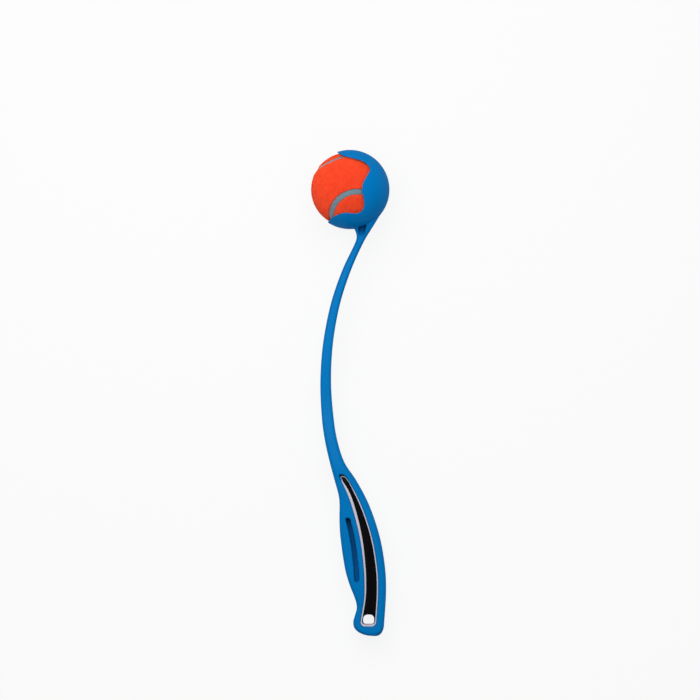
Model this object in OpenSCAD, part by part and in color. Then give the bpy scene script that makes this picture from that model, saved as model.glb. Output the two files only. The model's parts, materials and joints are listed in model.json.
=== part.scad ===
// Ball launcher stick: a springy throwing stick with a claw cup that grips a felt ball.
// It lies on its side with the ball's centre at the origin.
// X runs across the stick, Y along it towards the cup, and Z up.

/* [Ball] */
// Diameter of the ball over its felt
ball_d = 54; // [46:0.5:62]
// Thickness of the felt cover
felt_t = 3; // [2:0.1:4]
// Wall of the hollow rubber core under the felt
core_wall = 3.5; // [2.5:0.1:6]
// Width of the seam between the two felt panels
seam_w = 4.4; // [2:0.1:5]
// How far the seam lies below the felt
seam_sink = 0.8; // [0.4:0.1:1.5]

/* [Cup] */
// Gap between the ball and its seat
seat_gap = 0.3; // [0.2:0.05:0.8]
// Wall of the cup at its sides
cup_wall = 1.6; // [1.4:0.1:3]
// Wall of the cup at its back
cup_back_wall = 2.8; // [2:0.1:4]

/* [Arm] */
// Run from the underside of the cup to the narrowest part of the neck
neck_len = 9; // [7:0.5:14]
// Place of the neck, across from the ball's centre
neck_across = 8.6; // [7:0.1:11]
// Width of the arm at the neck
neck_w = 5.7; // [4.5:0.1:7]
// Thickness of the neck at the cup
neck_t = 15; // [12:0.5:18]
// Run of the arm from the neck to the handle
arm_len = 162; // [120:1:240]
// How far the arm bows to the palm side of the ball's centre
arm_bow = 16.4; // [12:0.2:22]
// Width of the arm halfway
arm_w = 7.1; // [6:0.1:9]
// Width of the arm where the handle starts
arm_end_w = 10.5; // [9:0.1:12]
// Place of the arm's end, to the palm side of the ball's centre
arm_end_across = 8; // [5:0.1:10]
// Thickness of the arm
arm_t = 11; // [9:0.5:14]
// Radius along the arm's edges
arm_edge_r = 1.6; // [1:0.1:2]
// Radius along the neck's edges at the cup
neck_edge_r = 3.6; // [2:0.1:5.5]
// Depth of the pocket on each face of the neck, beside the cup
neck_pocket_depth = 5; // [2:0.1:5.4]
// Width of the pocket at the cup
neck_pocket_w = 6; // [4:0.1:7]
// Run of the pocket below the cup
neck_pocket_len = 6; // [4:0.1:7]

/* [Handle] */
// Length of the handle
handle_len = 126.7; // [110:0.1:150]
// Width of the handle across the palm swell
handle_w = 29.6; // [27:0.1:36]
// Thickness of the handle
handle_t = 22; // [18:0.5:28]
// Run of the arm over which it thickens into the handle
flare_len = 52; // [20:1:80]
// Radius along the handle's edges
handle_edge_r = 3; // [2:0.1:4]
// Height of the rounded butt end
butt_rise = 8.6; // [6:0.1:12]

/* [Inlay] */
// Depth of the inlay's recess in each face of the handle
recess_depth = 1.2; // [0.8:0.1:2]
// Gap around the inlay's frame and its panel
inlay_gap = 0.1; // [0.05:0.05:0.3]
// Thickness of the inlay's frame
frame_t = 1; // [0.5:0.1:1.2]
// Thickness of the inlay's panel
panel_t = 0.7; // [0.4:0.1:1]
// Distance from the handle's back edge to the inlay
inlay_margin = 5.8; // [5:0.1:8]
// Distance from the top of the handle to the inlay
inlay_top_gap = 8.5; // [8:0.5:20]
// Distance from the butt end to the inlay
inlay_butt_gap = 7; // [6:0.1:7.2]
// Width of the inlay at its top
inlay_top_w = 4.4; // [3.6:0.1:5]
// Width of the inlay at its full end
inlay_end_w = 9.8; // [9.6:0.1:12]
// Run over which the inlay tapers
inlay_taper = 83; // [60:1:100]
// How far the inlay widens towards the palm at its lower end
inlay_flare = 1.6; // [0:0.1:2]
// Run over which it widens there
inlay_flare_run = 24; // [16:1:30]
// Width of the frame along the handle's back
frame_back_w = 0.8; // [0.6:0.1:0.9]
// Width of the frame at its widest, along the palm side
frame_palm_w = 2.1; // [1:0.1:2.4]
// Width of the frame at its lower end
frame_end_w = 0.9; // [0.5:0.1:1]
// Distance from the top of the inlay to the frame, which is open there
frame_open = 4.5; // [3:0.1:8]
// Run from the top of the inlay over which the frame widens
frame_run = 14; // [10:0.5:20]

/* [Groove and hang hole] */
// Width of the groove in the palm swell
groove_w = 3.4; // [2.5:0.1:4.5]
// Length of the groove
groove_len = 47; // [30:0.5:52]
// Depth of the groove on each face, at its upper end
groove_depth = 8; // [6:0.1:9]
// Depth of the groove at its lower end
groove_end_depth = 4.5; // [2:0.1:6]
// Distance from the butt end to the groove
groove_butt_gap = 39.5; // [38:0.5:52]
// Distance from the inlay to the middle of the groove
groove_offset = 5.7; // [4.4:0.1:6]
// Width of the hang hole
hole_w = 8.3; // [6:0.1:8.4]
// Height of the hang hole
hole_h = 7.1; // [5:0.1:7.4]
// Distance from the butt end to the middle of the hang hole
hole_butt_gap = 12.2; // [11.8:0.1:14]

/* [Hidden] */
$fn = 96;
// Turn of the ball in its seat, chosen so that the seam crosses the open side
ball_turn = [24.8, -16.7, -117.7];
// Bend of the seam: 0 would be a flat ring
seam_bend = 0.21;
seam_steps = 72;
edge_steps = 5;
overshoot = 1;

// Radii and places of the cup
ball_r = ball_d / 2;
core_r = ball_r - felt_t;
seat_r = ball_r + seat_gap;
cup_r = seat_r + cup_wall;
cup_shift = cup_back_wall - cup_wall;

// The mouth's edge, [across, along] in shares of the cup's radius, from the upper claw's tip
// round the two notches and the tongue between them to the lower claw's tip
tongue_reach = 0.35;
mouth_edge = [
  [-0.36, 1.08], [-0.257, 0.937], [-0.17, 0.868], [0.06, 0.795], [0.3, 0.734], [0.475, 0.633],
  [0.552, 0.5], [0.48, 0.345], [0.378, 0.16], [tongue_reach, -0.03], [0.385, -0.22], [0.402, -0.4],
  [0.335, -0.56], [0.17, -0.614], [-0.06, -0.593], [-0.27, -0.645], [-0.41, -0.722],
  [-0.51, -0.823], [-0.6, -0.95]
];
mouth_steps = 6;

// Drops below the ball's centre
neck_drop = cup_r + neck_len;
arm_drop = neck_drop + arm_len;
butt_drop = arm_drop + handle_len;
swell_drop = butt_drop - butt_rise;
swell_run = swell_drop - arm_drop;

function mix(a, b, t) = a + (b - a) * t;
function clamp01(t) = min(max(t, 0), 1);
function ease(d, from, to) = let (t = clamp01((d - from) / (to - from))) t * t * (3 - 2 * t);
function unit(v) = v / norm(v);

// A smooth curve through [place, value] knots in rising order
function knot_before(k, s, i = 0) = i >= len(k) - 2 || s <= k[i + 1][0] ? i : knot_before(k, s, i + 1);
function knot_slope(k, i) =
  let (a = max(i - 1, 0), b = min(i + 1, len(k) - 1))
  (k[b][1] - k[a][1]) / (k[b][0] - k[a][0]);
function curve(k, s) =
  let (i = knot_before(k, s), h = k[i + 1][0] - k[i][0], t = clamp01((s - k[i][0]) / h))
  mix(k[i][1], k[i + 1][1], t * t * (3 - 2 * t))
  + h * t * (1 - t) * ((1 - t) * knot_slope(k, i) - t * knot_slope(k, i + 1));

// A smooth path through points, as a list of points
function through(p, steps) = [
  for (i = [1:len(p) - 3], k = [0:steps - 1])
    let (t = k / steps, m0 = (p[i + 1] - p[i - 1]) / 2, m1 = (p[i + 2] - p[i]) / 2)
    mix(p[i], p[i + 1], t * t * (3 - 2 * t)) + t * (1 - t) * ((1 - t) * m0 - t * m1),
  p[len(p) - 2]
];

// The arm: its middle line and its width at shares of its run
function arm_knot(share, middle, width) = [mix(neck_drop, arm_drop, share), middle, width];
arm_line = [
  arm_knot(0, neck_across, neck_w),
  arm_knot(0.12, mix(neck_across, -arm_bow, 0.361), mix(neck_w, arm_w, 0.26)),
  arm_knot(0.25, mix(neck_across, -arm_bow, 0.658), mix(neck_w, arm_w, 0.52)),
  arm_knot(0.37, mix(neck_across, -arm_bow, 0.841), mix(neck_w, arm_w, 0.71)),
  arm_knot(0.5, mix(neck_across, -arm_bow, 0.961), arm_w),
  arm_knot(0.65, -arm_bow, mix(arm_w, arm_end_w, 0.15)),
  arm_knot(0.8, mix(-arm_bow, -arm_end_across, 0.178), mix(arm_w, arm_end_w, 0.37)),
  arm_knot(0.9, mix(-arm_bow, -arm_end_across, 0.466), mix(arm_w, arm_end_w, 0.51)),
  arm_knot(1, -arm_end_across, arm_end_w)
];

// The neck leaves the cup's back along its tangent, and its palm side sweeps into the cup
neck_back = neck_across + neck_w / 2;
neck_palm = neck_across - neck_w / 2;
neck_sweep = 2.2;
neck_root = 0.4;
neck_reach = [neck_back - cup_shift, neck_drop];
neck_leave = atan2(neck_reach[1], neck_reach[0]) - acos(cup_r / norm(neck_reach));
neck_top = [cup_shift, 0] + (cup_r - neck_root) * [cos(neck_leave), sin(neck_leave)];
back_neck = [
  [neck_top[1], neck_top[0]],
  [mix(neck_top[1], neck_drop, 0.5), mix(neck_top[0], neck_back, 0.5)]
];
palm_neck = [
  [neck_top[1], neck_palm - 2 * neck_sweep],
  [cup_r - neck_sweep / 4, neck_palm - neck_sweep / 2],
  [mix(cup_r, neck_drop, 0.5), neck_palm + neck_sweep / 4]
];

// The handle's edges, as [share of the swell's run, share of the width] from the arm's end
back_shape = [[0.109, 0.466], [0.258, 0.777], [0.456, 1.044], [0.651, 1.179], [0.803, 1.203], [1, 1.155]];
palm_shape = [
  [0.109, -0.061], [0.205, 0.043], [0.258, 0.062], [0.355, 0.059], [0.456, 0.081], [0.653, 0.194],
  [0.752, 0.304], [0.851, 0.456], [0.901, 0.49], [0.95, 0.436], [0.985, 0.397], [1, 0.4]
];
function handle_knots(shape) = [
  for (s = shape) [arm_drop + s[0] * swell_run, s[1] * handle_w - arm_end_across]
];
back_knots = concat(back_neck, [for (k = arm_line) [k[0], k[1] + k[2] / 2]], handle_knots(back_shape));
palm_knots = concat(palm_neck, [for (k = arm_line) [k[0], k[1] - k[2] / 2]], handle_knots(palm_shape));

// The butt rounds off both edges over its rise
butt_palm_share = 0.64;
butt_back_share = 0.25;
butt_w = curve(back_knots, swell_drop) - curve(palm_knots, swell_drop);
function butt_pull(d) = let (q = clamp01((d - swell_drop) / butt_rise)) butt_w * (1 - sqrt(1 - q * q));
function back_edge(d) = curve(back_knots, min(d, swell_drop)) - butt_back_share * butt_pull(d);
function palm_edge(d) = curve(palm_knots, min(d, swell_drop)) + butt_palm_share * butt_pull(d);

// Thickness and edge radius at a drop
function flare(d) = ease(d, arm_drop - flare_len, arm_drop + inlay_top_gap);
function full_t(d) = arm_t + (neck_t - arm_t) * (1 - ease(d, neck_top[1], neck_drop + neck_len))
  + (handle_t - arm_t) * flare(d);
function butt_thin(d) =
  let (q = clamp01((d - butt_drop + handle_edge_r) / handle_edge_r))
  handle_edge_r * (1 - sqrt(1 - q * q));
function half_t(d) = full_t(d) / 2 - butt_thin(d);
function edge_r(d, half_w) =
  let (r = mix(mix(neck_edge_r, arm_edge_r, ease(d, neck_top[1], neck_drop)), handle_edge_r, flare(d)))
  min(r, 0.9 * half_w);

// One ring of the stick at a drop: a rounded rectangle
function ring(d) =
  let (
    half_w = (back_edge(d) - palm_edge(d)) / 2,
    middle = (back_edge(d) + palm_edge(d)) / 2,
    r = edge_r(d, half_w)
  )
  [
    for (corner = [0:3], k = [0:edge_steps])
      let (
        a = 90 * (corner + k / edge_steps),
        side = [corner == 0 || corner == 3 ? 1 : -1, corner < 2 ? 1 : -1]
      )
      [middle + side[0] * (half_w - r) + r * cos(a), -d, side[1] * (half_t(d) - r) + r * sin(a)]
  ];
function steps(from, to, n) = [for (i = [0:n]) mix(from, to, i / n)];
neck_drops = steps(neck_top[1], neck_drop, 12);
arm_drops = steps(neck_drop, arm_drop, 40);
swell_drops = steps(arm_drop, swell_drop, 44);
butt_drops = [for (a = [15:15:90]) swell_drop + butt_rise * sin(a)];
function without_first(l) = [for (i = [1:len(l) - 1]) l[i]];

// The stick's solid over a list of drops
module stick(drops) {
  n = 4 * (edge_steps + 1);
  last = len(drops) - 1;
  points = [for (d = drops, p = ring(d)) p];
  sides = [
    for (i = [0:last - 1], k = [0:n - 1])
      let (a = i * n + k, b = i * n + (k + 1) % n)
      each [[a, b + n, b], [a, a + n, b + n]]
  ];
  caps = [[for (k = [0:n - 1]) k], [for (k = [n - 1:-1:0]) last * n + k]];
  polyhedron(points, concat(sides, caps), convexity = 6);
}

// A flat strip between two edges, round at both ends, as an outline on the stick's face
function strip(back, palm, top, end, r_top, r_end) =
  let (
    drops = concat(
      [for (a = [0:15:75]) top + r_top * (1 - cos(a))],
      steps(top + r_top, end - r_end, 26),
      [for (a = [15:15:90]) end - r_end * (1 - sin(a))]
    ),
    pull = function (d)
      d < top + r_top ? r_top - sqrt(max(0, pow(r_top, 2) - pow(top + r_top - d, 2)))
      : d > end - r_end ? r_end - sqrt(max(0, pow(r_end, 2) - pow(d - end + r_end, 2)))
      : 0
  )
  concat(
    [for (d = drops) [back(d) - pull(d), -d]],
    [for (i = [len(drops) - 1:-1:0]) [palm(drops[i]) + pull(drops[i]), -drops[i]]]
  );

// The inlay's edges follow the handle's back
inlay_top = arm_drop + inlay_top_gap;
inlay_end = butt_drop - inlay_butt_gap;
inlay_end_r = 3.2;
function inlay_back(d) = curve(back_knots, min(d, swell_drop)) - inlay_margin;
function inlay_palm(d) =
  let (t = clamp01((d - inlay_top) / inlay_taper))
  inlay_back(d) - mix(inlay_top_w, inlay_end_w, t * (2 - t))
  - inlay_flare * ease(d, inlay_end - inlay_flare_run, inlay_end);
function frame_grow(d) = ease(d, inlay_top, inlay_top + frame_run);
function frame_palm(d) =
  frame_grow(d) * mix(frame_palm_w, frame_end_w, ease(d, inlay_top, inlay_end));

// The inlay's outline: share 0 is the frame's outside and 1 its inside, and a gap grows it
function inlay_outline(share, gap) =
  let (
    top = inlay_top - gap,
    end = mix(inlay_end, hole_drop + hole_h / 2 + hole_gap, share) + gap,
    back = function (d) inlay_back(d) - share * frame_back_w * frame_grow(d) + gap,
    palm = function (d) inlay_palm(d) + share * frame_palm(d) - gap
  )
  strip(back, palm, top, end, 0.46 * (back(top) - palm(top)), inlay_end_r + gap - share * frame_end_w);

// The open top of the frame, where the panel fills the recess
function frame_top_outline() =
  let (from = -inlay_top - frame_open, to = -arm_drop)
  [[-handle_w, from], [handle_w, from], [handle_w, to], [-handle_w, to]];

// The groove runs beside the inlay
groove_end = butt_drop - groove_butt_gap;
function groove_outline() =
  strip(
    function (d) inlay_palm(d) - groove_offset + groove_w / 2,
    function (d) inlay_palm(d) - groove_offset - groove_w / 2,
    groove_end - groove_len, groove_end, 0.48 * groove_w, 0.48 * groove_w
  );

// The hang hole is loaf-shaped: a superellipse with a domed power above and a squarer one below
hole_drop = butt_drop - hole_butt_gap;
hole_across = (inlay_back(hole_drop) + inlay_palm(hole_drop)) / 2;
loaf_powers = [2.4, 4.5];
hole_gap = 0.15;
function bent(c, power) = sign(c) * pow(abs(c), 2 / power);
function hole_outline(gap) = [
  for (a = [0:10:350])
    let (power = loaf_powers[a < 180 ? 0 : 1])
    [
      hole_across + (hole_w / 2 + gap) * bent(cos(a), power),
      -hole_drop + (hole_h / 2 + gap) * bent(sin(a), power)
    ]
];

// The stick lies on the cup's tongue and the edge of the butt
head_low = sqrt(pow(cup_r, 2) - pow(tongue_reach * cup_r - cup_shift, 2));
butt_lever = [butt_drop - handle_edge_r, handle_t / 2 - handle_edge_r];
lie_tilt = asin((head_low - handle_edge_r) / norm(butt_lever)) - atan2(butt_lever[1], butt_lever[0]);

// Places a piece as the launcher lies
module lying() {
  rotate([lie_tilt, 0, 0]) children();
}

// Places a piece as the ball sits in the cup
module seated_ball() {
  lying() rotate(ball_turn) children();
}

// Repeats a cut or a piece on the front or the back face of the handle
module on_face(side) {
  mirror([0, 0, side < 0 ? 1 : 0]) translate([0, 0, handle_t / 2]) children();
}

// A recess from a face of the handle down to a depth
module face_cut(outline, depth) {
  translate([0, 0, -depth]) linear_extrude(depth + overshoot) polygon(outline);
}

// The cup's outer ball, which the neck saddles on
module cup_outside() {
  translate([cup_shift, 0, 0]) sphere(cup_r);
}

module ball_cup() {
  mouth = concat(through(mouth_edge, mouth_steps), [[-1.5, mouth_edge[len(mouth_edge) - 2][1]], [-1.5, 1]]);
  color([0.0, 0.43, 0.72]) lying() difference() {
    cup_outside();
    sphere(seat_r);
    translate([0, 0, -2 * cup_r]) linear_extrude(4 * cup_r) polygon(cup_r * mouth);
  }
}

// The pocket on each face of the neck: half an ellipse whose floor slopes down to the cup
pocket_from = 0.85 * cup_r;
pocket_end = cup_r + neck_pocket_len;
pocket_share = 0.43;
pocket_slope = atan2(neck_pocket_depth - half_t(cup_r) + half_t(pocket_end), neck_pocket_len);
module neck_pocket() {
  outline = [
    for (a = [0:10:180])
      let (d = mix(pocket_from, pocket_end, sin(a)))
      [mix(palm_edge(d), back_edge(d), pocket_share) + neck_pocket_w / 2 * cos(a), -d]
  ];
  for (side = [0, 1])
    mirror([0, 0, side]) intersection() {
      linear_extrude(neck_t) polygon(outline);
      translate([0, -pocket_end, half_t(pocket_end)]) rotate([-pocket_slope, 0, 0])
        translate([-cup_r, -cup_r, 0]) cube([2 * cup_r, 2 * cup_r, neck_t]);
    }
}

module throwing_arm() {
  color([0.0, 0.43, 0.72]) lying() difference() {
    stick(concat(neck_drops, without_first(arm_drops)));
    cup_outside();
    neck_pocket();
  }
}

// The groove, whose floor rises towards its lower end
groove_slope = atan2(groove_depth - groove_end_depth, groove_len);
module groove_cut() {
  intersection() {
    face_cut(groove_outline(), groove_depth);
    translate([-handle_w, -groove_end, -groove_end_depth]) rotate([-groove_slope, 0, 0])
      translate([0, -overshoot, 0]) cube([2 * handle_w, groove_len + 3 * overshoot, 2 * groove_depth]);
  }
}

module handle() {
  color([0.0, 0.43, 0.72]) lying() difference() {
    stick(concat(swell_drops, butt_drops));
    for (side = [1, -1])
      on_face(side) {
        face_cut(inlay_outline(0, inlay_gap), recess_depth);
        groove_cut();
      }
    translate([0, 0, -handle_t]) linear_extrude(2 * handle_t) polygon(hole_outline(0));
  }
}

// A flat plate on the floor of a recess, and a cut right through such a plate
module plate(outline, thickness) {
  linear_extrude(thickness) polygon(outline);
}
module plate_cut(outline, thickness) {
  translate([0, 0, -overshoot]) linear_extrude(thickness + 2 * overshoot) polygon(outline);
}

module inlay_frame(side) {
  color([0.8, 0.79, 0.83]) lying() on_face(side) translate([0, 0, -recess_depth]) difference() {
    plate(inlay_outline(0, 0), frame_t);
    plate_cut(inlay_outline(1, 0), frame_t);
    plate_cut(frame_top_outline(), frame_t);
    plate_cut(hole_outline(hole_gap), frame_t);
  }
}

module inlay_panel(side) {
  color([0.05, 0.05, 0.06]) lying() on_face(side) translate([0, 0, -recess_depth]) difference() {
    plate(inlay_outline(1, -inlay_gap), panel_t);
    plate_cut(hole_outline(hole_gap), panel_t);
  }
}

// A half shell of the rubber core
module core_half(side) {
  color([0.2, 0.2, 0.21]) seated_ball() mirror([0, 0, side < 0 ? 1 : 0])
    rotate_extrude() intersection() {
      difference() {
        circle(core_r);
        circle(core_r - core_wall);
      }
      square(2 * core_r);
    }
}

// The seam's line on the ball, and the line beside it by half the seam's width
function seam_line(t) = unit([
  (1 - seam_bend) * cos(t) + seam_bend * cos(3 * t),
  (1 - seam_bend) * sin(t) - seam_bend * sin(3 * t),
  2 * sqrt(seam_bend * (1 - seam_bend)) * sin(2 * t)
]);
function beside_seam(t, side) =
  let (c = seam_line(t), along = seam_line(t + 1) - seam_line(t - 1))
  unit(c + side * seam_w / ball_d * unit(cross(c, along)));

// The space over one felt panel: a cone from the ball's centre through the panel's edge
module panel_cone(side) {
  n = seam_steps;
  reach = 4 * ball_r;
  rim = [for (i = [0:n - 1]) reach * beside_seam(side * (360 * i / n - 45), side)];
  walls = [for (i = [0:n - 1]) [n, i, (i + 1) % n]];
  across = [
    for (i = [0:n / 2 - 1])
      i == 0 ? [0, n - 1, 1] : i == n / 2 - 1 ? [i, n - i, i + 1] : [i, n - i, n - i - 1, i + 1]
  ];
  polyhedron(concat(rim, [[0, 0, 0]]), concat(walls, across), convexity = 6);
}

module felt_panel(side) {
  color([0.95, 0.26, 0.13]) seated_ball() intersection() {
    difference() {
      sphere(ball_r);
      sphere(core_r);
    }
    panel_cone(side);
  }
}

// The space over the seam: a band between the two panels' edges, from inside the core to outside the ball
module seam_band() {
  n = seam_steps;
  under = core_r - overshoot;
  over = ball_r + overshoot;
  lanes = [[1, under], [1, over], [-1, over], [-1, under]];
  points = [for (lane = lanes, i = [0:n - 1]) lane[1] * beside_seam(360 * i / n, lane[0])];
  faces = [
    for (lane = [0:3], i = [0:n - 1])
      let (a = lane * n, b = (lane + 1) % 4 * n, j = (i + 1) % n)
      each [[a + i, b + j, b + i], [a + i, a + j, b + j]]
  ];
  polyhedron(points, faces, convexity = 6);
}

module felt_seam() {
  color([0.43, 0.55, 0.59]) seated_ball() intersection() {
    difference() {
      sphere(ball_r - seam_sink);
      sphere(core_r);
    }
    seam_band();
  }
}

ball_cup();
throwing_arm();
handle();
inlay_frame(1);  // front_inlay_frame
inlay_panel(1);  // front_inlay_panel
inlay_frame(-1);  // back_inlay_frame
inlay_panel(-1);  // back_inlay_panel
core_half(1);  // upper_core_half
core_half(-1);  // lower_core_half
felt_panel(1);  // front_felt_panel
felt_panel(-1);  // rear_felt_panel
felt_seam();
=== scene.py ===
"""Looks for a ball launcher stick: one springy moulding with a claw cup, handle inlays and a felt ball."""

import json
import math

import bmesh
import bpy
import numpy as np
from bpy.props import FloatProperty, FloatVectorProperty, IntProperty, PointerProperty
from mathutils import Matrix, Vector


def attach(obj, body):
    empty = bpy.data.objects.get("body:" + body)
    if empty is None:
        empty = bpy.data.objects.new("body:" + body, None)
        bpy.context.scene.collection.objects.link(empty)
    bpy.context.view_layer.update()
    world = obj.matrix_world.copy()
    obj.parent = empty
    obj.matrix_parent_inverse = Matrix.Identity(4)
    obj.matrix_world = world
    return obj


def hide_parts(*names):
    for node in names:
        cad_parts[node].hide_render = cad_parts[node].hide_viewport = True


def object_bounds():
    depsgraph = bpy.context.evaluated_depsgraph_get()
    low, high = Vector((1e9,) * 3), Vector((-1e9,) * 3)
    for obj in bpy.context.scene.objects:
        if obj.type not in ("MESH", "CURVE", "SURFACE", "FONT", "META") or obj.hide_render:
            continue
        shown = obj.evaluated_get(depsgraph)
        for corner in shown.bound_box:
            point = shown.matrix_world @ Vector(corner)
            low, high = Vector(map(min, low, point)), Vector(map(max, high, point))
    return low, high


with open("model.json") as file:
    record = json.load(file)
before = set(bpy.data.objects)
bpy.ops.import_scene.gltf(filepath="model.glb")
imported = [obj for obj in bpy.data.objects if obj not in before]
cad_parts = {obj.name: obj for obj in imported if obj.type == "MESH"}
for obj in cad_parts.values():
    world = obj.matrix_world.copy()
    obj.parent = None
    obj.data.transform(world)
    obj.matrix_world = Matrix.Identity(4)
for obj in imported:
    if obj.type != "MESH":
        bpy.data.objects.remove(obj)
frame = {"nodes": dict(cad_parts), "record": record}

bl_info = {
    "name": "Ball launcher stick",
    "version": (1, 0, 0),
    "blender": (4, 5, 0),
    "location": "3D View > Sidebar > Launcher",
    "description": "Builds the moulding, inlays, felt ball and studio around the launcher's solids",
    "category": "Object",
}

CAD_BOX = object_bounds()
LAUNCHER_NODES = ("ball_cup", "throwing_arm", "handle")
FELT_PANELS = ("front_felt_panel", "rear_felt_panel")
CORE_HALVES = ("upper_core_half", "lower_core_half")
MM_IN_M = 1000

# Meshes
MERGE_GAP = 1e-6  # points nearer than this are one point
SPECK_POINTS = 20  # a loose part with fewer points is a speck
ROUNDING_STEP = 0.5  # how far a rounding pass takes a point to the middle of its neighbours

# What the moulding's skin carries for its finish
RELIEF_PASSES = 3  # passes that ease how sharply it bends
LEAST_SPAN = 1e-9  # least square of an edge's length that a bend is worked out from, in square millimetres
SHELTER_LINES = 8  # lines from each point that look for walls
SHELTER_START = 0.25  # their start off the skin, as a share of its grid
SHELTER_PASSES = 4  # passes that ease the share of them that meet a wall

# Ridges and inlays
RIDGE_SIDES = 6  # sides of a fine ridge
SEAT_SHARE = 1.02  # how far out the cup's inside is taken to reach, as a share of its seat
FLAT_TURN = math.radians(1)  # most turn between the faces of one flat
CHAMFER_TURN = math.radians(40)  # least turn at an edge that gets a chamfer
CHAMFER_STEPS = 2  # faces across a chamfer
CRISP_TURN = math.radians(35)  # least turn at an edge that is shaded crisp

# Felt
LUMP_SPACING = 0.004  # spacing of its lumps
NAP_DEPTH = 0.0006  # how far under the ball's outside fibres still grow
NAP_MOST_LEAN = math.radians(86)  # most lean of a fibre away from upright
FIBRE_SIDES = 3  # faces round a fibre
FIBRE_RINGS = 2  # faces along a fibre
FIBRE_SIZES = (0.55, 1.15)  # smallest and largest fibre, as shares of the nap's length and width
FIBRE_SHADES = (0.1, 1.0)  # least and most of the paler tint on a fibre

# Studio
FLOOR_TILES = 4  # faces along each side of the floor
WHITE = (1.0, 1.0, 1.0)

# The launcher's own directions as it lies, which are out of its face, across it and along it towards the
# cup, and the turn that takes the scene's directions to them
MOUNTS = {mount["name"]: mount for mount in frame["record"]["mounts"]}
FACE = Vector(MOUNTS["hang_hole"]["axis"]).normalized()
ACROSS = Vector((1.0, 0.0, 0.0))
ALONG = FACE.cross(ACROSS)
TURNED = Matrix((ACROSS, ALONG, FACE)).transposed()
FACES = {"front": FACE, "back": -FACE}


def reach(node, pick):
    """The nearest or farthest distance of a node's surface from the ball's centre, at the origin."""
    return pick(vertex.co.length for vertex in frame["nodes"][node].data.vertices)


BALL_R = reach("front_felt_panel", max)
SEAT_R = reach("ball_cup", min)


def tint(red, green, blue):
    """A screen colour, 0 to 255 in each channel, as the linear colour that shaders use."""
    shares = (channel / 255 for channel in (red, green, blue))
    return tuple(s / 12.92 if s <= 0.04045 else ((s + 0.055) / 1.055) ** 2.4 for s in shares)


class LauncherSizes(bpy.types.PropertyGroup):
    """Sizes of the moulding's finish, the inlays' edges and the ball's nap."""

    moulding_grid: FloatProperty(
        name="Moulding grid", description="Grid at which the moulding's skin is drawn",
        default=0.00026, unit="LENGTH", precision=5)
    moulding_passes: IntProperty(
        name="Moulding passes", description="Rounding passes over the moulding's edges", default=24)
    moulding_share: FloatProperty(
        name="Moulding share",
        description="Share of the skin's faces that are kept, most of them at its edges",
        subtype="FACTOR", default=0.15)
    hollow_reach: FloatProperty(
        name="Hollow reach", description="How near a wall lies that keeps the light off a hollow",
        default=0.009, unit="LENGTH", precision=5)
    hollow_seed: IntProperty(
        name="Hollow seed", description="Seed of the lines that look for such walls", default=3)
    parting_r: FloatProperty(
        name="Parting line", description="Radius of the fine ridge where the mould closed",
        default=0.00014, unit="LENGTH", precision=5)
    parting_step: FloatProperty(
        name="Parting step", description="Spacing of points along the parting line",
        default=0.0009, unit="LENGTH", precision=5)
    inlay_chamfer: FloatProperty(
        name="Inlay chamfer", description="Rounding along the edges of the inlays",
        default=0.00016, unit="LENGTH", precision=5)
    crown_r: FloatProperty(
        name="Crown radius", description="Radius of the thin rim that closes the frame round its top",
        default=0.0002, unit="LENGTH", precision=5)
    crown_thin: FloatProperty(
        name="Crown thinness", description="Share of that radius which is left at the rim's top",
        subtype="FACTOR", default=0.25)
    crown_step: FloatProperty(
        name="Crown step", description="Spacing of points along the rim",
        default=0.0003, unit="LENGTH", precision=5)
    crown_pull: FloatProperty(
        name="Crown pull", description="How far the rim is drawn in at its top, as a share of its height",
        subtype="FACTOR", default=0.3)
    felt_grid: FloatProperty(
        name="Felt grid", description="Grid at which the felt panels are drawn",
        default=0.0007, unit="LENGTH", precision=5)
    felt_passes: IntProperty(
        name="Felt passes", description="Rounding passes over the felt's cut edges", default=6)
    felt_share: FloatProperty(
        name="Felt share", description="Share of the felt's faces that are kept under the nap",
        subtype="FACTOR", default=0.6)
    felt_lumps: FloatProperty(
        name="Felt lumps", description="Height of the felt's uneven surface",
        default=0.00016, unit="LENGTH", precision=5)
    nap_length: FloatProperty(
        name="Nap length", description="Length of a felt fibre", default=0.0015, unit="LENGTH", precision=5)
    nap_width: FloatProperty(
        name="Nap width", description="Radius at the root of a felt fibre",
        default=0.00005, unit="LENGTH", precision=5)
    nap_density: FloatProperty(
        name="Nap density", description="Felt fibres for each square millimetre", default=3.7)
    nap_lean: FloatProperty(
        name="Nap lean", description="Least lean of a felt fibre away from upright",
        default=math.radians(68), subtype="ANGLE")
    nap_curl: FloatProperty(
        name="Nap curl", description="How far a fibre's tip bends back to the ball, as a share of its length",
        default=0.18)
    nap_sway: FloatProperty(
        name="Nap sway", description="How far a fibre's tip bends sideways, as a share of its length",
        default=0.4)
    nap_seed: IntProperty(name="Nap seed", description="Seed of the felt's fibres", default=7)
    seam_grid: FloatProperty(
        name="Seam grid", description="Grid at which the ball's seam is drawn",
        default=0.00045, unit="LENGTH", precision=5)


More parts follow.
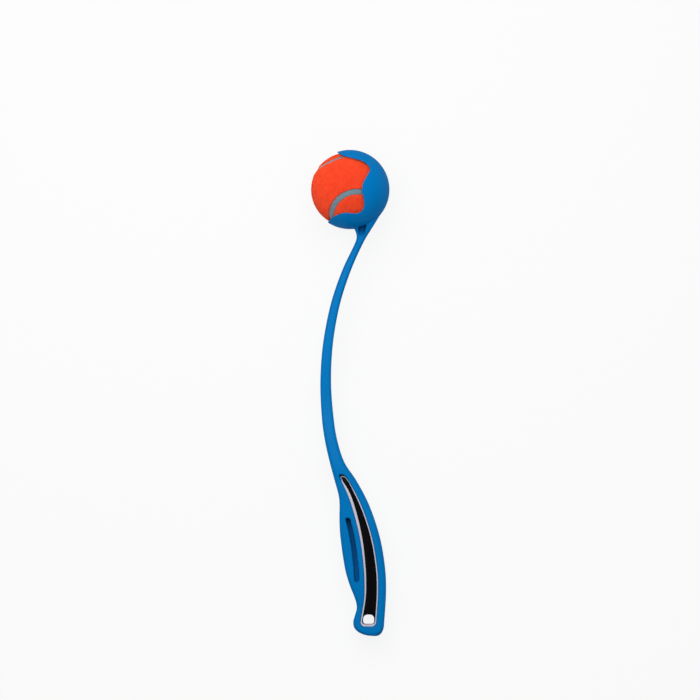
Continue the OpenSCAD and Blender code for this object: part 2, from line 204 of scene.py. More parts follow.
class LauncherColours(bpy.types.PropertyGroup):
    """Colours of the launcher's finishes."""

    moulding: FloatVectorProperty(
        name="Moulding", description="Blue of the launcher's plastic",
        subtype="COLOR", min=0, max=1, default=tint(0, 125, 199))
    # Painted shade: besides the plastic's own clouds, this darker blue is laid along the moulding's convex
    # edges, where they turn from the light.
    moulding_cloud_and_edge_shade: FloatVectorProperty(
        name="Moulding deep", description="Darker blue in the plastic's clouds and along its handled edges",
        subtype="COLOR", min=0, max=1, default=tint(0, 92, 160))
    # Painted shade: this navy is laid into the pockets, grooves and holes, where the moulding's own walls
    # keep the light off.
    moulding_hollow_shade: FloatVectorProperty(
        name="Moulding hollow", description="Navy deep in the pockets, grooves and holes",
        subtype="COLOR", min=0, max=1, default=tint(0, 44, 96))
    # Painted highlight: this paler blue lightens the sharpest rims, such as the cup's mouth; a little of it
    # also marks real scuffs.
    moulding_rim_highlight_and_scuffs: FloatVectorProperty(
        name="Moulding rim", description="Paler blue where edges are rubbed",
        subtype="COLOR", min=0, max=1, default=tint(46, 146, 210))
    trim: FloatVectorProperty(
        name="Trim", description="Silver grey of the inlay's frame",
        subtype="COLOR", min=0, max=1, default=tint(200, 196, 208))
    insert: FloatVectorProperty(
        name="Insert", description="Black of the inlay's panel",
        subtype="COLOR", min=0, max=1, default=tint(4, 4, 7))
    felt: FloatVectorProperty(
        name="Felt", description="Orange red of the ball's felt",
        subtype="COLOR", min=0, max=1, default=tint(252, 84, 46))
    felt_deep: FloatVectorProperty(
        name="Felt deep", description="Darker red low in the felt's nap",
        subtype="COLOR", min=0, max=1, default=tint(238, 64, 34))
    felt_pale: FloatVectorProperty(
        name="Felt pale", description="Paler orange at the tips of the felt's nap",
        subtype="COLOR", min=0, max=1, default=tint(255, 118, 74))
    seam: FloatVectorProperty(
        name="Seam", description="Grey green of the cement between the felt panels",
        subtype="COLOR", min=0, max=1, default=tint(106, 134, 146))
    seam_lint: FloatVectorProperty(
        name="Seam lint", description="Pale orange of the felt's lint along the cement",
        subtype="COLOR", min=0, max=1, default=tint(255, 196, 168))
    rubber: FloatVectorProperty(
        name="Rubber", description="Near black of the ball's core",
        subtype="COLOR", min=0, max=1, default=tint(44, 44, 47))
    floor: FloatVectorProperty(
        name="Floor", description="White of the studio floor",
        subtype="COLOR", min=0, max=1, default=tint(234, 234, 234))


class LauncherStudio(bpy.types.PropertyGroup):
    """Sizes of the camera's view, the light and the floor."""

    view_width: FloatProperty(
        name="View width", description="Width of the picture at the launcher", default=0.5122, unit="LENGTH")
    view_across: FloatProperty(
        name="View across", description="Middle of the picture, across from the ball's centre",
        default=0.00135, unit="LENGTH", precision=5)
    view_along: FloatProperty(
        name="View along", description="Middle of the picture, along the stick from the ball's centre",
        default=-0.11744, unit="LENGTH", precision=5)
    view_distance: FloatProperty(
        name="View distance", description="Distance of the camera from the launcher",
        default=10.0, unit="LENGTH")
    floor_size: FloatProperty(
        name="Floor size", description="Side of the studio floor", default=8.0, unit="LENGTH")
    softbox_size: FloatProperty(
        name="Softbox size", description="Side of the softbox", default=0.8, unit="LENGTH")
    softbox_distance: FloatProperty(
        name="Softbox distance", description="Distance of the softbox from the launcher",
        default=0.8, unit="LENGTH")
    softbox_power: FloatProperty(
        name="Softbox power", description="Power of the softbox", default=5.5, unit="POWER")
    softbox_from: FloatVectorProperty(
        name="Softbox from", description="Direction of the softbox, across, along and above the launcher",
        subtype="DIRECTION", default=(-0.14, 0.5, 1.0))
    room_light: FloatProperty(
        name="Room light", description="Strength of the even light from all around", default=0.32)
    floor_glow: FloatProperty(
        name="Floor glow", description="Share of the floor's white that no shadow falls on",
        subtype="FACTOR", default=0.88)


class Wire:
    """A socket of a node tree that takes part in Python sums: each sum adds a Math node."""

    def __init__(self, tree, socket):
        self.tree = tree
        self.socket = socket

    @staticmethod
    def find(sockets, key):
        """The socket with a place, an identifier or a name."""
        if isinstance(key, int):
            return sockets[key]
        return next(socket for socket in sockets if key in (socket.identifier, socket.name))

    @classmethod
    def node(cls, tree, kind, settings=None, inputs=None, output=0):
        """Adds a node, sets its settings, then its sockets' values or links, and gives one of its outputs."""
        made = tree.nodes.new(kind)
        for key, value in (settings or {}).items():
            setattr(made, key, value)
        for key, value in (inputs or {}).items():
            socket = cls.find(made.inputs, key)
            for item in value if isinstance(value, list) else [value]:
                if isinstance(item, Wire):
                    tree.links.new(item.socket, socket)
                else:
                    socket.default_value = item
        return cls(tree, cls.find(made.outputs, output)) if made.outputs else None

    def beside(self, output):
        """Another output of the same node."""
        return Wire(self.tree, self.find(self.socket.node.outputs, output))

    def maths(self, operation, first, second):
        """One Math node."""
        return self.node(self.tree, "ShaderNodeMath", {"operation": operation}, {0: first, 1: second})

    def vector(self, operation, inputs, output=0):
        """One Vector Math node, with this vector first."""
        settings = {"operation": operation}
        return self.node(self.tree, "ShaderNodeVectorMath", settings, {0: self, **inputs}, output)

    def held(self):
        """The same value, kept between 0 and 1."""
        return self.node(self.tree, "ShaderNodeClamp", None, {"Value": self})

    def __add__(self, other):
        return self.maths("ADD", self, other)

    def __radd__(self, other):
        return self.maths("ADD", other, self)

    def __sub__(self, other):
        return self.maths("SUBTRACT", self, other)

    def __rsub__(self, other):
        return self.maths("SUBTRACT", other, self)

    def __mul__(self, other):
        return self.maths("MULTIPLY", self, other)

    def __rmul__(self, other):
        return self.maths("MULTIPLY", other, self)

    def __gt__(self, other):
        return self.maths("GREATER_THAN", self, other)

    def __lt__(self, other):
        return self.maths("LESS_THAN", self, other)


def opaque(colour):
    """A colour with its alpha, as a colour socket takes it."""
    return (*colour, 1.0)


def toned(colour, gain, lift=0.0):
    """A colour made paler or darker by a gain and a lift."""
    return tuple(min(1.0, lift + channel * gain) for channel in colour)


def blended(share, first, second):
    """Two colours or colour wires mixed by a share."""
    first, second = (c if isinstance(c, Wire) else opaque(c) for c in (first, second))
    inputs = {"Factor_Float": share, "A_Color": first, "B_Color": second}
    return Wire.node(share.tree, "ShaderNodeMix", {"data_type": "RGBA"}, inputs, "Result_Color")


def grain(tree, size, detail=2.0, stretch=(1.0, 1.0, 1.0), twist=0.0):
    """Noise whose clumps have about this size, stretched along the axes by shares."""
    place = Wire.node(tree, "ShaderNodeTexCoord", output="Object")
    shrink = tuple(1 / share for share in stretch)
    place = Wire.node(tree, "ShaderNodeMapping", None, {"Vector": place, "Scale": shrink})
    inputs = {"Vector": place, "Scale": 1 / size, "Detail": detail, "Distortion": twist}
    return Wire.node(tree, "ShaderNodeTexNoise", None, inputs)


def between(wire, low, high):
    """How far a value has gone from low to high, eased and held between 0 and 1."""
    settings = {"interpolation_type": "SMOOTHSTEP"}
    inputs = {"Value": wire, "From Min": low, "From Max": high}
    return Wire.node(wire.tree, "ShaderNodeMapRange", settings, inputs)


def attribute(tree, name):
    """A number that the mesh carries."""
    return Wire.node(tree, "ShaderNodeAttribute", {"attribute_name": name}, output="Fac")


def bumped(height, distance, strength=1.0):
    """A normal that follows a height."""
    inputs = {"Height": height, "Distance": distance, "Strength": strength}
    return Wire.node(height.tree, "ShaderNodeBump", None, inputs)


def material(name):
    """A new material with an empty tree."""
    made = bpy.data.materials.new(name)
    made.use_nodes = True
    made.node_tree.nodes.clear()
    return made


def surfaced(made, sockets, over=None):
    """Ends a material in one surface with these sockets, under a second shader if one is given."""
    tree = made.node_tree
    surface = Wire.node(tree, "ShaderNodeBsdfPrincipled", None, sockets)
    if over:
        share, shader = over
        surface = Wire.node(tree, "ShaderNodeMixShader", None, {0: share, 1: surface, 2: shader})
    Wire.node(tree, "ShaderNodeOutputMaterial", None, {"Surface": surface})
    return made


def seen_directly(tree):
    """1 for a ray from the camera or off a glossy or clear surface, and 0 for light on a surface."""
    path = Wire.node(tree, "ShaderNodeLightPath", output="Is Camera Ray")
    return (path + path.beside("Is Glossy Ray") + path.beside("Is Transmission Ray")).held()


def moulded_blue(colours):
    """Satin blue plastic with faint clouds, fine mould grain and scuffs, painted shade along its edges and in
    its hollows, and a painted highlight on its sharp rims.
    """
    made = material("moulded_blue")
    tree = made.node_tree
    relief = attribute(tree, "relief")
    # Painted shade: the convex edges of the arm and handle, picked by how sharply the skin bends.
    edges = between(relief, low=0.07, high=0.3)
    # Painted highlight: the sharpest convex rims, such as the cup's mouth, picked by how sharply the skin
    # bends.
    rims = between(relief, low=0.45, high=0.9)
    # Painted shade: how far the moulding's own walls shut each point in, from the shelter lines.
    hollows = between(attribute(tree, "shelter"), low=0.25, high=0.9)
    clouds = between(grain(tree, size=0.045, detail=3.0), low=0.35, high=0.75)
    scratches = grain(tree, size=0.0016, detail=3.0, stretch=(1.0, 9.0, 1.0), twist=0.4)
    scuffs = between(scratches, low=0.62, high=0.72)
    mould_grain = grain(tree, size=0.00045, detail=3.0)
    # The clouds are the plastic's own tone; the edge share is painted shade along the convex edges.
    colour = blended(clouds * 0.2 + edges * 0.5, colours.moulding, colours.moulding_cloud_and_edge_shade)
    # The rim share is a painted highlight; the scuff share is real wear.
    colour = blended(rims * 0.6 + scuffs * 0.05, colour, colours.moulding_rim_highlight_and_scuffs)
    # Painted shade: the sheltered hollows are darkened to navy.
    colour = blended(hollows * 0.6, colour, colours.moulding_hollow_shade)
    return surfaced(made, {
        "Base Color": colour,
        "Roughness": 0.28 + clouds * 0.06 + scuffs * 0.1 - rims * 0.05,
        "Specular IOR Level": 0.0,
        "Coat Weight": 0.07 - clouds * 0.02 - scuffs * 0.03 + rims * 0.03,
        "Coat Roughness": 0.26,
        "Normal": bumped(mould_grain, distance=0.00003, strength=0.5),
    })


def satin_trim(colours):
    """Silver-grey trim with a fine metal flake."""
    made = material("satin_trim")
    tree = made.node_tree
    flake = grain(tree, size=0.0003, detail=1.0)
    brushed = grain(tree, size=0.0012, detail=3.0, stretch=(1.0, 14.0, 1.0))
    streaks = between(brushed, low=0.35, high=0.75)
    return surfaced(made, {
        "Base Color": blended(streaks * 0.35 + flake * 0.15, colours.trim, toned(colours.trim, gain=0.8)),
        "Metallic": 0.15,
        "Roughness": 0.3 + flake * 0.16,
        "Normal": bumped(brushed + flake * 0.5, distance=0.00002, strength=0.4),
    })


def black_insert(colours):
    """Smooth black panel with a fine moulded grain and faint hand polish."""
    made = material("black_insert")
    tree = made.node_tree
    pores = grain(tree, size=0.0004)
    handling = grain(tree, size=0.011, detail=3.0, stretch=(1.0, 2.5, 1.0))
    polish = between(handling, low=0.4, high=0.7)
    dull = toned(colours.insert, gain=1.6, lift=0.002)
    return surfaced(made, {
        "Base Color": blended(polish * 0.5, colours.insert, dull),
        "Roughness": 0.34 + polish * 0.12,
        "Specular IOR Level": 0.03,
        "Normal": bumped(pores, distance=0.00003, strength=0.4),
    })


def ball_felt(colours):
    """Needled felt: clumped nap, darker roots and paler worn tips."""
    made = material("ball_felt")
    tree = made.node_tree
    clumps = between(grain(tree, size=0.0035, detail=4.0, twist=0.6), low=0.38, high=0.68)
    threads = grain(tree, size=0.0007, detail=5.0, twist=1.8)
    shade = attribute(tree, "fibre_shade")
    colour = blended(clumps * 0.35 + (1 - threads) * 0.2, colours.felt, colours.felt_deep)
    colour = blended(shade * 0.55, colour, colours.felt_pale)
    return surfaced(made, {
        "Base Color": colour,
        "Roughness": 0.86 + threads * 0.14,
        "Diffuse Roughness": 1.0,
        "Specular IOR Level": 0.08,
        "Sheen Weight": 0.12,
        "Sheen Roughness": 0.5,
        "Sheen Tint": opaque(colours.felt_pale),
        "Normal": bumped(threads + clumps * 0.6, distance=0.0002, strength=0.7),
    })


def seam_cement(colours):
    """Dull cement with a chalky skin and lint off the felt, which shows along its slopes."""
    made = material("seam_cement")
    tree = made.node_tree
    chalk = between(grain(tree, size=0.0018, detail=4.0), low=0.4, high=0.7)
    pits = grain(tree, size=0.0005)
    return surfaced(made, {
        "Base Color": blended(chalk * 0.5, colours.seam, toned(colours.seam, gain=1.3)),
        "Roughness": 0.62 + pits * 0.2,
        "Specular IOR Level": 0.3,
        "Sheen Weight": 1.0,
        "Sheen Roughness": 0.4,
        "Sheen Tint": opaque(colours.seam_lint),
        "Normal": bumped(pits, distance=0.00008, strength=0.6),
    })


def core_rubber(colours):
    """Moulded rubber of the ball's core, dusted with talc."""
    made = material("core_rubber")
    tree = made.node_tree
    talc = between(grain(tree, size=0.006, detail=4.0), low=0.45, high=0.75)
    pits = grain(tree, size=0.0006)
    dusted = toned(colours.rubber, gain=1.5, lift=0.02)
    return surfaced(made, {
        "Base Color": blended(talc * 0.6, colours.rubber, dusted),
        "Roughness": 0.7 + pits * 0.2,
        "Normal": bumped(pits, distance=0.0001, strength=0.5),
    })


def studio_floor(colours, glow):
    """Plain white floor: a share of its white is its own to the eye, and the rest takes the shadow."""
    made = material("studio_floor")
    tree = made.node_tree
    mottle = grain(tree, size=0.6)
    white = Wire.node(tree, "ShaderNodeEmission", None, {"Color": opaque(WHITE), "Strength": 1.0})
    return surfaced(made, {
        "Base Color": blended(mottle, colours.floor, toned(colours.floor, gain=0.985)),
        "Roughness": 0.9,
        "Specular IOR Level": 0.1,
    }, (seen_directly(tree) * glow, white))


def studio_room(strength):
    """Even light from all around, white where it is seen."""
    room = bpy.data.worlds.new("studio_room")
    room.use_nodes = True
    tree = room.node_tree
    tree.nodes.clear()
    level = strength + seen_directly(tree) * (1 - strength)
    light = Wire.node(tree, "ShaderNodeBackground", None, {"Color": opaque(WHITE), "Strength": level})
    Wire.node(tree, "ShaderNodeOutputWorld", None, {"Surface": light})
    return room


def linked(name, mesh):
    """A new object with a mesh, in the scene."""
    piece = bpy.data.objects.new(name, mesh)
    bpy.context.scene.collection.objects.link(piece)
    return piece


def shaped(name, shape):
    """A new object from a shape, which is used up."""
    mesh = bpy.data.meshes.new(name)
    shape.to_mesh(mesh)
    shape.free()
    return linked(name, mesh)


def merged(*nodes):
    """A shape from copies of nodes, with their loose triangles merged."""
    shape = bmesh.new()
    for node in nodes:
        shape.from_mesh(frame["nodes"][node].data)
    bmesh.ops.remove_doubles(shape, verts=shape.verts, dist=MERGE_GAP)
    return shape


def copied(name, *nodes):
    """A new piece from copies of nodes."""
    return shaped(name, merged(*nodes))


def cut(shape, way, level, line_only):
    """Cuts a shape at a level along a way, and keeps what lies past it or only the line of the cut."""
    everything = [*shape.verts, *shape.edges, *shape.faces]
    bmesh.ops.bisect_plane(
        shape, geom=everything, plane_co=way * level, plane_no=way, clear_inner=True, clear_outer=line_only)


def modified(piece, kind, **settings):
    """Adds a modifier with settings."""
    made = piece.modifiers.new(kind.lower(), kind)
    for key, value in settings.items():
        setattr(made, key, value)
    return made


def settled(piece):
    """Turns a piece and its modifiers into a plain mesh."""
    graph = bpy.context.evaluated_depsgraph_get()
    mesh = bpy.data.meshes.new_from_object(piece.evaluated_get(graph))
    piece.modifiers.clear()
    piece.data = mesh
    return piece


def without_specks(shape):
    """Takes the specks off a shape."""
    left = set(shape.verts)
    specks = []
    while left:
        part = [left.pop()]
        for vertex in part:
            near = {edge.other_vert(vertex) for edge in vertex.link_edges} & left
            left -= near
            part.extend(near)
        if len(part) < SPECK_POINTS:
            specks += part
    bmesh.ops.delete(shape, geom=specks, context="VERTS")


def rounded(piece, grid, passes, share):
    """Draws a piece anew as one skin on its surface, rounds its edges and keeps a share of its faces."""
    surface = linked("surface", piece.data.copy())
    modified(piece, "REMESH", mode="VOXEL", voxel_size=grid, adaptivity=0.0, use_smooth_shade=True)
    modified(piece, "SHRINKWRAP", target=surface, wrap_method="NEAREST_SURFACEPOINT")
    modified(piece, "SMOOTH", factor=ROUNDING_STEP, iterations=passes)
    modified(piece, "DECIMATE", ratio=share)
    settled(piece)
    bpy.data.objects.remove(surface)
    shape = bmesh.new()
    shape.from_mesh(piece.data)
    without_specks(shape)
    shape.to_mesh(piece.data)
    shape.free()


def painted(piece, finish):
    """Gives a piece one material."""
    piece.data.materials.clear()
    piece.data.materials.append(finish)
    return piece


def placed(piece, body, slot, *nodes):
    """Rides a piece on its body and stands it for its nodes; the slot it is given is not used."""
    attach(piece, body)
    if nodes:
        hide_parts(*nodes)


def relief_of(mesh):
    """How sharply a mesh bends at each point, per millimetre, eased: negative is a hollow."""
    count = len(mesh.vertices)
    places = np.empty(count * 3, np.float32)
    facings = np.empty(count * 3, np.float32)
    ends = np.empty(len(mesh.edges) * 2, np.int32)
    mesh.vertices.foreach_get("co", places)
    mesh.vertex_normals.foreach_get("vector", facings)
    mesh.edges.foreach_get("vertices", ends)
    places, facings = places.reshape(-1, 3), facings.reshape(-1, 3)
    first, second = ends.reshape(-1, 2).T
    steps = (places[second] - places[first]) * MM_IN_M
    spans = np.maximum((steps * steps).sum(axis=1), LEAST_SPAN)
    bend_first = -2 * (steps * facings[first]).sum(axis=1) / spans
    bend_second = 2 * (steps * facings[second]).sum(axis=1) / spans
    shares = np.maximum(np.bincount(ends, minlength=count), 1)

    def gathered(at_first, at_second):
        return (np.bincount(first, at_first, count) + np.bincount(second, at_second, count)) / shares

    relief = gathered(bend_first, bend_second)
    for _ in range(RELIEF_PASSES):
        relief = (relief + gathered(relief[second], relief[first])) / 2
    return relief


def carry(mesh, name, values):
    """Stores a number for each point of a mesh."""
    made = mesh.attributes.new(name, "FLOAT", "POINT")
    made.data.foreach_set("value", values.astype(np.float32))


def node_tree(name, sizes):
    """A geometry tree that takes a mesh and named sizes, and the wires that they come in on."""
    tree = bpy.data.node_groups.new(name, "GeometryNodeTree")
    sockets = {"Geometry": "NodeSocketGeometry"}
    for key, value in sizes.items():
        sockets[key] = "NodeSocketInt" if isinstance(value, int) else "NodeSocketFloat"
    for key, kind in sockets.items():
        tree.interface.new_socket(key, in_out="INPUT", socket_type=kind)
    tree.interface.new_socket("Geometry", in_out="OUTPUT", socket_type="NodeSocketGeometry")
    group = tree.nodes.new("NodeGroupInput")
    return tree, {key: Wire(tree, group.outputs[key]) for key in sockets}


def closed_tree(tree, shape, finish):
    """Ends a geometry tree in plain, smooth, painted faces."""
    shape = Wire.node(tree, "GeometryNodeRealizeInstances", None, {"Geometry": shape})
    shape = Wire.node(tree, "GeometryNodeSetShadeSmooth", None, {"Geometry": shape})
    shape = Wire.node(tree, "GeometryNodeSetMaterial", None, {"Geometry": shape, "Material": finish})
    Wire.node(tree, "NodeGroupOutput", None, {"Geometry": shape})


def grown(piece, tree, sizes):
    """Runs a geometry tree on a piece with its named sizes, and keeps the result as a plain mesh."""
    made = modified(piece, "NODES", node_group=tree)
    for item in tree.interface.items_tree:
        if item.in_out == "INPUT" and item.name in sizes:
            made[item.identifier] = sizes[item.name]
    return settled(piece)


def shelter_tree(sizes, finish):
    """A mesh that carries how far its walls shut it in: the share of lines out of it that meet one."""
    tree, given = node_tree("shelter", sizes)
    place = Wire.node(tree, "GeometryNodeInputPosition")
    facing = Wire.node(tree, "GeometryNodeInputNormal")
    start = place.vector("ADD", {1: facing.vector("SCALE", {"Scale": given["Clear"]})})
    met = 0
    for line in range(SHELTER_LINES):
        way = Wire.node(tree, "FunctionNodeRandomValue", {"data_type": "FLOAT_VECTOR"}, {
            "Min": (-1, -1, -1), "Max": (1, 1, 1), "Seed": given["Seed"] + line})
        met += Wire.node(tree, "GeometryNodeRaycast", None, {
            "Target Geometry": given["Geometry"], "Source Position": start,
            "Ray Direction": facing.vector("ADD", {1: way}), "Ray Length": given["Reach"]}, "Is Hit")
    share = Wire.node(tree, "GeometryNodeBlurAttribute", None, {
        "Value": met * (1 / SHELTER_LINES), "Iterations": given["Passes"]})
    shape = Wire.node(tree, "GeometryNodeStoreNamedAttribute", {"data_type": "FLOAT", "domain": "POINT"}, {
        "Geometry": given["Geometry"], "Name": "shelter", "Value": share})
    closed_tree(tree, shape, finish)
    return tree


def ridge_tree(name, sizes, finish):
    """A fine ridge along a line, which may thin out towards the line's middle."""
    tree, given = node_tree(name, sizes)
    line = Wire.node(tree, "GeometryNodeMeshToCurve", None, {"Mesh": given["Geometry"]})
    line = Wire.node(tree, "GeometryNodeResampleCurve", {"mode": "LENGTH"}, {
        "Curve": line, "Length": given["Step"]})
    aside = Wire.node(tree, "GeometryNodeSplineParameter", output="Factor") * 2 - 1
    taper = given["Thin"] + (1 - given["Thin"]) * aside * aside
    line = Wire.node(tree, "GeometryNodeSetCurveRadius", None, {"Curve": line, "Radius": taper})
    ridge = Wire.node(tree, "GeometryNodeCurvePrimitiveCircle", None, {
        "Resolution": RIDGE_SIDES, "Radius": given["Radius"]})
    shape = Wire.node(tree, "GeometryNodeCurveToMesh", None, {
        "Curve": line, "Profile Curve": ridge, "Fill Caps": True})
    closed_tree(tree, shape, finish)
    return tree


def scattered(tree, span, seed):
    """A number of its own for each point or fibre, at random within a span."""
    low, high = span
    return Wire.node(tree, "FunctionNodeRandomValue", {"data_type": "FLOAT"}, {
        "Min_001": low, "Max_001": high, "Seed": seed}, "Value_001")


def nap_tree(sizes, finish):
    """A felt cover with an uneven surface and short leaning fibres all over its outside."""
    tree, given = node_tree("felt_nap", sizes)
    place = Wire.node(tree, "GeometryNodeInputPosition")
    facing = Wire.node(tree, "GeometryNodeInputNormal")
    lumps = Wire.node(tree, "ShaderNodeTexNoise", None, {"Vector": place, "Scale": given["Lumps across"]})
    lift = facing.vector("SCALE", {"Scale": (lumps - 0.5) * given["Lump height"]})
    cover = Wire.node(tree, "GeometryNodeSetPosition", None, {"Geometry": given["Geometry"], "Offset": lift})

    outside = place.vector("LENGTH", {}, "Value") > given["Nap from"]
    roots = Wire.node(tree, "GeometryNodeDistributePointsOnFaces", None, {
        "Mesh": cover, "Selection": outside, "Density": given["Density"], "Seed": given["Seed"]})

    cone = Wire.node(tree, "GeometryNodeMeshCone", None, {
        "Vertices": FIBRE_SIDES, "Side Segments": FIBRE_RINGS,
        "Radius Top": 0.0, "Radius Bottom": given["Width"], "Depth": given["Length"]})
    height = Wire.node(tree, "ShaderNodeSeparateXYZ", None, {"Vector": place}, "Z")
    bend = height * height
    curl = Wire.node(tree, "ShaderNodeCombineXYZ", None, {
        "X": bend * given["Sway"], "Y": bend * given["Curl"]})
    fibre = Wire.node(tree, "GeometryNodeSetPosition", None, {"Geometry": cone, "Offset": curl})

    least = Wire.node(tree, "ShaderNodeCombineXYZ", None, {"X": given["Least lean"]})
    most = Wire.node(tree, "ShaderNodeCombineXYZ", None, {"X": NAP_MOST_LEAN, "Z": 2 * math.pi})
    lean = Wire.node(tree, "FunctionNodeRandomValue", {"data_type": "FLOAT_VECTOR"}, {
        "Min": least, "Max": most, "Seed": given["Seed"]})
    lean = Wire.node(tree, "FunctionNodeEulerToRotation", None, {"Euler": lean})
    lean = Wire.node(tree, "FunctionNodeRotateRotation", {"rotation_space": "LOCAL"}, {
        "Rotation": roots.beside("Rotation"), "Rotate By": lean})
    nap = Wire.node(tree, "GeometryNodeInstanceOnPoints", None, {
        "Points": roots, "Instance": fibre, "Rotation": lean,
        "Scale": scattered(tree, FIBRE_SIZES, given["Seed"] + 1)})
    nap = Wire.node(tree, "GeometryNodeStoreNamedAttribute", {"data_type": "FLOAT", "domain": "INSTANCE"}, {
        "Geometry": nap, "Name": "fibre_shade", "Value": scattered(tree, FIBRE_SHADES, given["Seed"] + 2)})
    shape = Wire.node(tree, "GeometryNodeJoinGeometry", None, {"Geometry": [cover, nap]})
    closed_tree(tree, shape, finish)
    return tree


def outline_of(piece, name):
    """The line where the launcher's middle plane cuts a piece, without the cup's inside."""
    shape = bmesh.new()
    shape.from_mesh(piece.data)
    cut(shape, FACE, 0.0, line_only=True)
    seat = [vertex for vertex in shape.verts if vertex.co.length < SEAT_R * SEAT_SHARE]
    bmesh.ops.delete(shape, geom=seat, context="VERTS")
    without_specks(shape)
    return shaped(name, shape)


def crown_of(panel, name, out, foot, pull):
    """The line round the top of a panel just under its face, from a foot up, drawn in as it rises."""
    shape = merged(panel)
    face = max(vertex.co.dot(out) for vertex in shape.verts) - 2 * MERGE_GAP
    cut(shape, out, face, line_only=True)
    cut(shape, ALONG, foot, line_only=False)
    heights = {vertex: vertex.co.dot(ALONG) - foot for vertex in shape.verts}
    feet = [vertex.co for vertex, height in heights.items() if height < MERGE_GAP]
    middle = sum(feet, Vector()) / len(feet)
    for vertex, height in heights.items():
        vertex.co = vertex.co.lerp(middle, pull * height / max(heights.values()))
    return shaped(name, shape)


def view_middle(studio):
    """The point in the launcher's middle plane that the picture is centred on."""
    return ACROSS * studio.view_across + ALONG * studio.view_along


def studio_camera(studio):
    """A camera that looks straight onto the launcher."""
    camera = bpy.data.objects.new("camera", bpy.data.cameras.new("camera"))
    camera.data.lens = camera.data.sensor_width * studio.view_distance / studio.view_width
    place = Matrix.Translation(view_middle(studio) + FACE * studio.view_distance)
    camera.matrix_world = place @ TURNED.to_4x4()
    return camera


def studio_softbox(studio):
    """A square softbox that points at the middle of the picture."""
    lamp = bpy.data.lights.new("softbox", "AREA")
    lamp.size = studio.softbox_size
    lamp.energy = studio.softbox_power
    softbox = bpy.data.objects.new("softbox", lamp)
    way = TURNED @ Vector(studio.softbox_from).normalized()
    softbox.location = view_middle(studio) + way * studio.softbox_distance
    softbox.rotation_euler = (-way).to_track_quat("-Z", "Y").to_euler()
    softbox.visible_camera = False
    return softbox


class LAUNCHER_OT_moulding(bpy.types.Operator):
    """Makes the launcher's cup, arm and handle as one moulding, with the ridge where the mould closed"""

    bl_idname = "launcher.moulding"
    bl_label = "Moulding"

    def execute(self, context):
        sizes = context.scene.launcher_sizes
        finish = moulded_blue(context.scene.launcher_colours)
        moulding = copied("launcher_moulding", *LAUNCHER_NODES)
        rounded(moulding, sizes.moulding_grid, sizes.moulding_passes, sizes.moulding_share)
        carry(moulding.data, "relief", relief_of(moulding.data))
        shelter_sizes = {
            "Reach": sizes.hollow_reach, "Clear": sizes.moulding_grid * SHELTER_START,
            "Passes": SHELTER_PASSES, "Seed": sizes.hollow_seed}
        grown(moulding, shelter_tree(shelter_sizes, finish), shelter_sizes)
        placed(moulding, "launcher", "moulding", *LAUNCHER_NODES)

        ridge_sizes = {"Radius": sizes.parting_r, "Thin": 1.0, "Step": sizes.parting_step}
        ridge = outline_of(moulding, "parting_ridge")
        grown(ridge, ridge_tree("parting", ridge_sizes, finish), ridge_sizes)
        placed(ridge, "launcher", "moulding")
        return {"FINISHED"}


class LAUNCHER_OT_inlays(bpy.types.Operator):
    """Makes the inlay on each face of the handle: its frame, its panel and the thin rim round its top"""

    bl_idname = "launcher.inlays"
    bl_label = "Inlays"

    def execute(self, context):
        colours = context.scene.launcher_colours
        sizes = context.scene.launcher_sizes
        finishes = {"frame": satin_trim(colours), "panel": black_insert(colours)}
        crown_sizes = {"Radius": sizes.crown_r, "Thin": sizes.crown_thin, "Step": sizes.crown_step}
        crown_tree = ridge_tree("crown", crown_sizes, finishes["frame"])
        for face, out in FACES.items():
            for part, finish in finishes.items():
                node = f"{face}_inlay_{part}"
                piece = copied(f"{face}_{part}", node)
                modified(piece, "DECIMATE", decimate_type="DISSOLVE", angle_limit=FLAT_TURN)
                modified(
                    piece, "BEVEL", width=sizes.inlay_chamfer, segments=CHAMFER_STEPS,
                    limit_method="ANGLE", angle_limit=CHAMFER_TURN)
                settled(piece)
                piece.data.shade_smooth()
                piece.data.set_sharp_from_angle(angle=CRISP_TURN)
                placed(painted(piece, finish), "launcher", f"inlay_{part}", node)
            # The rim's feet run into the tips of the frame by the rim's own width
            legs = frame["nodes"][f"{face}_inlay_frame"].data.vertices
            foot = max(vertex.co.dot(ALONG) for vertex in legs) - 2 * sizes.crown_r
            crown = crown_of(f"{face}_inlay_panel", f"{face}_crown", out, foot, sizes.crown_pull)
            placed(grown(crown, crown_tree, crown_sizes), "launcher", "inlay_frame")
        return {"FINISHED"}


class LAUNCHER_OT_ball(bpy.types.Operator):
    """Makes the ball's felt panels with their nap, the seam between them and the rubber core"""

    bl_idname = "launcher.ball"
    bl_label = "Ball"

    def execute(self, context):
        sizes = context.scene.launcher_sizes
        colours = context.scene.launcher_colours
        felt, cement, rubber = ball_felt(colours), seam_cement(colours), core_rubber(colours)
        nap_sizes = {
            "Lumps across": 1 / LUMP_SPACING, "Lump height": sizes.felt_lumps, "Nap from": BALL_R - NAP_DEPTH,
            "Density": sizes.nap_density * MM_IN_M**2, "Length": sizes.nap_length, "Width": sizes.nap_width,
            "Curl": -sizes.nap_curl / sizes.nap_length, "Sway": sizes.nap_sway / sizes.nap_length,
            "Least lean": sizes.nap_lean, "Seed": sizes.nap_seed,
        }
        tree = nap_tree(nap_sizes, felt)
        for node in FELT_PANELS:
            panel = copied(node.replace("_panel", ""), node)
            rounded(panel, sizes.felt_grid, sizes.felt_passes, sizes.felt_share)
            grown(panel, tree, nap_sizes)
            placed(panel, "ball", "felt", node)
        seam = copied("seam_bead", "felt_seam")
        rounded(seam, sizes.seam_grid, sizes.felt_passes, sizes.felt_share)
        placed(painted(seam, cement), "ball", "seam_cement", "felt_seam")
        for node in CORE_HALVES:
            painted(frame["nodes"][node], rubber)
        return {"FINISHED"}


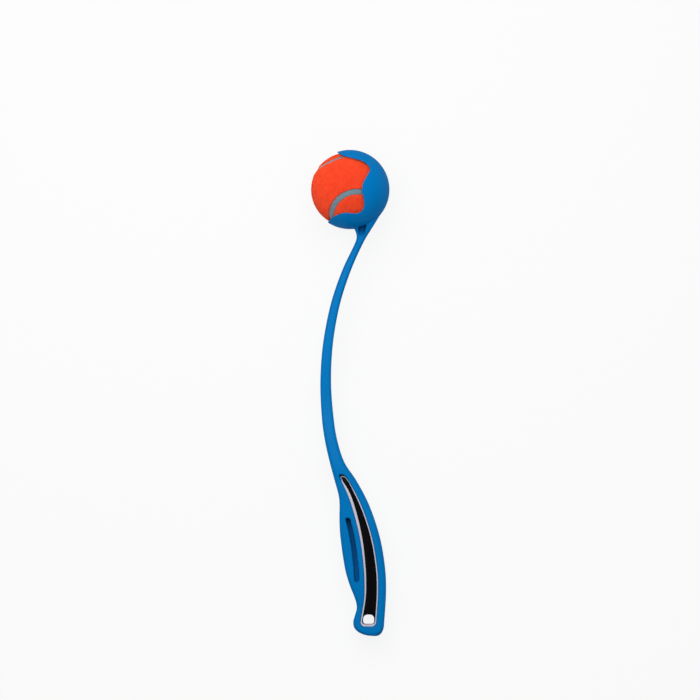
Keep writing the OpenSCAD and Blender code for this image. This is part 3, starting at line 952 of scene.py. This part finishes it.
class LAUNCHER_OT_stage(bpy.types.Operator):
    """Sets the floor, the softbox, the room's light and the camera that looks straight onto the launcher"""

    bl_idname = "launcher.stage"
    bl_label = "Stage"

    def execute(self, context):
        scene = context.scene
        studio = scene.launcher_studio
        scene.view_settings.view_transform = "Standard"

        shape = bmesh.new()
        bmesh.ops.create_grid(
            shape, x_segments=FLOOR_TILES, y_segments=FLOOR_TILES, size=studio.floor_size / 2)
        bmesh.ops.translate(shape, verts=shape.verts, vec=(0, 0, CAD_BOX[0].z))
        finish = studio_floor(scene.launcher_colours, studio.floor_glow)
        painted(shaped("floor", shape), finish)

        camera = studio_camera(studio)
        for fitting in (camera, studio_softbox(studio)):
            scene.collection.objects.link(fitting)
        scene.camera = camera
        scene.world = studio_room(studio.room_light)
        return {"FINISHED"}


class LAUNCHER_PT_build(bpy.types.Panel):
    """Lists the launcher's pieces, sizes and colours"""

    bl_idname = "LAUNCHER_PT_build"
    bl_label = "Ball launcher"
    bl_space_type = "VIEW_3D"
    bl_region_type = "UI"
    bl_category = "Launcher"

    def draw(self, context):
        for operator in OPERATORS:
            self.layout.operator(operator.bl_idname)
        for name in GROUPS:
            group = getattr(context.scene, name)
            box = self.layout.box()
            for key in group.__annotations__:
                box.prop(group, key)


OPERATORS = (LAUNCHER_OT_moulding, LAUNCHER_OT_inlays, LAUNCHER_OT_ball, LAUNCHER_OT_stage)
GROUPS = {
    "launcher_sizes": LauncherSizes,
    "launcher_colours": LauncherColours,
    "launcher_studio": LauncherStudio,
}
CLASSES = (*GROUPS.values(), *OPERATORS, LAUNCHER_PT_build)


def register():
    for each in CLASSES:
        bpy.utils.register_class(each)
    for name, group in GROUPS.items():
        setattr(bpy.types.Scene, name, PointerProperty(type=group))


def unregister():
    for name in GROUPS:
        delattr(bpy.types.Scene, name)
    for each in reversed(CLASSES):
        bpy.utils.unregister_class(each)


def main():
    """Builds the launcher and its studio."""
    register()
    bpy.ops.launcher.moulding()
    bpy.ops.launcher.inlays()
    bpy.ops.launcher.ball()
    bpy.ops.launcher.stage()


if __name__ == "__main__":
    main()
